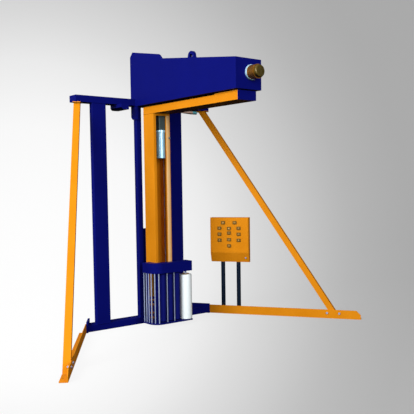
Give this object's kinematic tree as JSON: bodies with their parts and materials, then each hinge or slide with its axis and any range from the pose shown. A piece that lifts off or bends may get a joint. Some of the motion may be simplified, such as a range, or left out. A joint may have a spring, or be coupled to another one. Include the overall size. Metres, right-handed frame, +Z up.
{
  "type": "rotary arm pallet wrapper",
  "caption": "Free-standing rotary arm stretch wrapper: upright frame with cantilever, slewing arm and mast, film carriage, splayed braced floor beams and push-button console",
  "frame": {"origin": "centre of the bounding box on the floor", "axes": "+X towards the console side, -Y the way the cantilever reaches, +Z up"},
  "size_m": [3.8078, 2.004, 3.04],
  "materials": {
    "blue_paint": "gloss enamel",
    "yellow_paint": "gloss enamel",
    "console_leg_paint": "satin enamel",
    "steel": "bright turned",
    "motor_bronze": "metallic lacquer",
    "motor_cowl_paint": "satin",
    "motor_aluminium": "satin",
    "gearbox_paint": "painted casting",
    "film": "stretch film, wound",
    "roller_rubber": "matt",
    "button_plastic": "matt",
    "sensor_plastic": "satin",
    "sensor_cap_plastic": "gloss"
  },
  "bodies": {
    "frame": {"cantilever_shell": "blue_paint", "column_panel": "blue_paint", "console_box": "yellow_paint", "console_legs": "console_leg_paint", "frame_bolts": "steel", "inner_posts": "blue_paint", "left_brace": "yellow_paint", "left_floor_beam": "yellow_paint", "left_post": "blue_paint", "lifting_lug": "blue_paint", "portal_bottom_beam": "blue_paint", "portal_top_beam": "blue_paint", "right_brace": "yellow_paint", "right_floor_beam": "yellow_paint", "right_post": "blue_paint", "root_gussets": "blue_paint", "sensor_body": "sensor_plastic", "sensor_cap": "sensor_cap_plastic", "slew_bearing_housing": "steel", "slew_chain": "steel", "slew_gearbox": "gearbox_paint", "slew_motor_barrel": "motor_bronze", "slew_motor_cowl": "motor_cowl_paint", "slew_motor_flange": "motor_aluminium", "under_beam_block": "blue_paint"},
    "slew_pinion": {"slew_drive_sprocket": "steel"},
    "arm": {"arm_beam": "yellow_paint", "arm_end_plate": "blue_paint", "slew_shaft": "steel", "mast_channel": "yellow_paint", "lift_gearbox": "gearbox_paint", "lift_motor": "motor_aluminium", "lift_chain": "steel"},
    "lift_pinion": {"lift_drive_sprocket": "steel"},
    "lift_idler": {"lift_idler_sprocket": "steel"},
    "carriage": {"carriage_housing": "blue_paint", "carriage_base_plate": "blue_paint", "carriage_back_plate": "blue_paint", "carriage_upright_rods": "steel", "carriage_guide_block": "steel", "carriage_gearmotor": "motor_bronze", "film_spindle": "steel"},
    "film": {"film_roll": "film"},
    "roller_1": {"film_roller_1": "roller_rubber"},
    "roller_2": {"film_roller_2": "roller_rubber"},
    "roller_3": {"film_roller_3": "roller_rubber"},
    "door": {"console_door": "yellow_paint"},
    "key_switch": {"console_lock": "steel"},
    "push_01": {"button_01": "button_plastic"},
    "push_02": {"button_02": "button_plastic"},
    "push_03": {"button_03": "button_plastic"},
    "push_04": {"button_04": "button_plastic"},
    "push_05": {"button_05": "button_plastic"},
    "push_06": {"button_06": "button_plastic"},
    "push_07": {"button_07": "button_plastic"},
    "push_08": {"button_08": "button_plastic"},
    "push_09": {"button_09": "button_plastic"},
    "push_10": {"button_10": "button_plastic"},
    "push_11": {"button_11": "button_plastic"},
    "push_12": {"button_12": "button_plastic"}
  },
  "joints": [
    {"name": "arm_slew", "type": "hinge", "parent": "frame", "child": "arm", "pos_m": [0, -0.67696, 2.48], "axis": [0, 0, 1], "continuous": true},
    {"name": "slew_pinion_spin", "type": "hinge", "parent": "frame", "child": "slew_pinion", "pos_m": [0, -0.80896, 2.508], "axis": [0, 0, 1], "continuous": true},
    {"name": "carriage_lift", "type": "slide", "parent": "arm", "child": "carriage", "axis": [0, 0, 1], "range_m": [0, 1.35]},
    {"name": "lift_pinion_spin", "type": "hinge", "parent": "arm", "child": "lift_pinion", "pos_m": [0.082, 0.59804, 2.262], "axis": [1, 0, 0], "range_deg": [-2280, 0]},
    {"name": "lift_idler_spin", "type": "hinge", "parent": "arm", "child": "lift_idler", "pos_m": [0.082, 0.59804, 0.14], "axis": [1, 0, 0], "range_deg": [-2280, 0]},
    {"name": "film_roll_spin", "type": "hinge", "parent": "carriage", "child": "film", "pos_m": [0.256, 0.49704, 0.3], "axis": [0, 0, 1], "continuous": true},
    {"name": "roller_1_spin", "type": "hinge", "parent": "carriage", "child": "roller_1", "pos_m": [-0.068, 0.48104, 0.3], "axis": [0, 0, 1], "continuous": true},
    {"name": "roller_2_spin", "type": "hinge", "parent": "carriage", "child": "roller_2", "pos_m": [0.0275, 0.48104, 0.3], "axis": [0, 0, 1], "continuous": true},
    {"name": "roller_3_spin", "type": "hinge", "parent": "carriage", "child": "roller_3", "pos_m": [0.122, 0.48104, 0.3], "axis": [0, 0, 1], "continuous": true},
    {"name": "door_hinge", "type": "hinge", "parent": "frame", "child": "door", "pos_m": [0.84665, 0.75623, 0.95], "axis": [0, 0, -1], "range_deg": [0, 100]},
    {"name": "key_switch_turn", "type": "hinge", "parent": "frame", "child": "key_switch", "pos_m": [1.10025, 0.41069, 0.684], "axis": [-0.8368, -0.5476, 0], "range_deg": [0, 90]},
    {"name": "button_01_press", "type": "slide", "parent": "door", "child": "push_01", "axis": [0.8368, 0.5476, 0], "range_m": [0, 0.004], "stiffness_N_per_m": 600, "springref_m": -0.002},
    {"name": "button_02_press", "type": "slide", "parent": "door", "child": "push_02", "axis": [0.8368, 0.5476, 0], "range_m": [0, 0.004], "stiffness_N_per_m": 600, "springref_m": -0.002},
    {"name": "button_03_press", "type": "slide", "parent": "door", "child": "push_03", "axis": [0.8368, 0.5476, 0], "range_m": [0, 0.004], "stiffness_N_per_m": 600, "springref_m": -0.002},
    {"name": "button_04_press", "type": "slide", "parent": "door", "child": "push_04", "axis": [0.8368, 0.5476, 0], "range_m": [0, 0.004], "stiffness_N_per_m": 600, "springref_m": -0.002},
    {"name": "button_05_press", "type": "slide", "parent": "door", "child": "push_05", "axis": [0.8368, 0.5476, 0], "range_m": [0, 0.004], "stiffness_N_per_m": 600, "springref_m": -0.002},
    {"name": "button_06_press", "type": "slide", "parent": "door", "child": "push_06", "axis": [0.8368, 0.5476, 0], "range_m": [0, 0.004], "stiffness_N_per_m": 600, "springref_m": -0.002},
    {"name": "button_07_press", "type": "slide", "parent": "door", "child": "push_07", "axis": [0.8368, 0.5476, 0], "range_m": [0, 0.004], "stiffness_N_per_m": 600, "springref_m": -0.002},
    {"name": "button_08_press", "type": "slide", "parent": "door", "child": "push_08", "axis": [0.8368, 0.5476, 0], "range_m": [0, 0.004], "stiffness_N_per_m": 600, "springref_m": -0.002},
    {"name": "button_09_press", "type": "slide", "parent": "door", "child": "push_09", "axis": [0.8368, 0.5476, 0], "range_m": [0, 0.004], "stiffness_N_per_m": 600, "springref_m": -0.002},
    {"name": "button_10_press", "type": "slide", "parent": "door", "child": "push_10", "axis": [0.8368, 0.5476, 0], "range_m": [0, 0.004], "stiffness_N_per_m": 600, "springref_m": -0.002},
    {"name": "button_11_press", "type": "slide", "parent": "door", "child": "push_11", "axis": [0.8368, 0.5476, 0], "range_m": [0, 0.004], "stiffness_N_per_m": 600, "springref_m": -0.002},
    {"name": "button_12_press", "type": "slide", "parent": "door", "child": "push_12", "axis": [0.8368, 0.5476, 0], "range_m": [0, 0.004], "stiffness_N_per_m": 600, "springref_m": -0.002}
  ],
  "couplings": [
    {"joint": "slew_pinion_spin", "follows": "arm_slew", "ratio": 2},
    {"joint": "lift_pinion_spin", "follows": "carriage_lift", "rad_per_m": -29.412},
    {"joint": "lift_idler_spin", "follows": "carriage_lift", "rad_per_m": -29.412},
    {"joint": "roller_2_spin", "follows": "roller_1_spin", "ratio": 1.6}
  ]
}
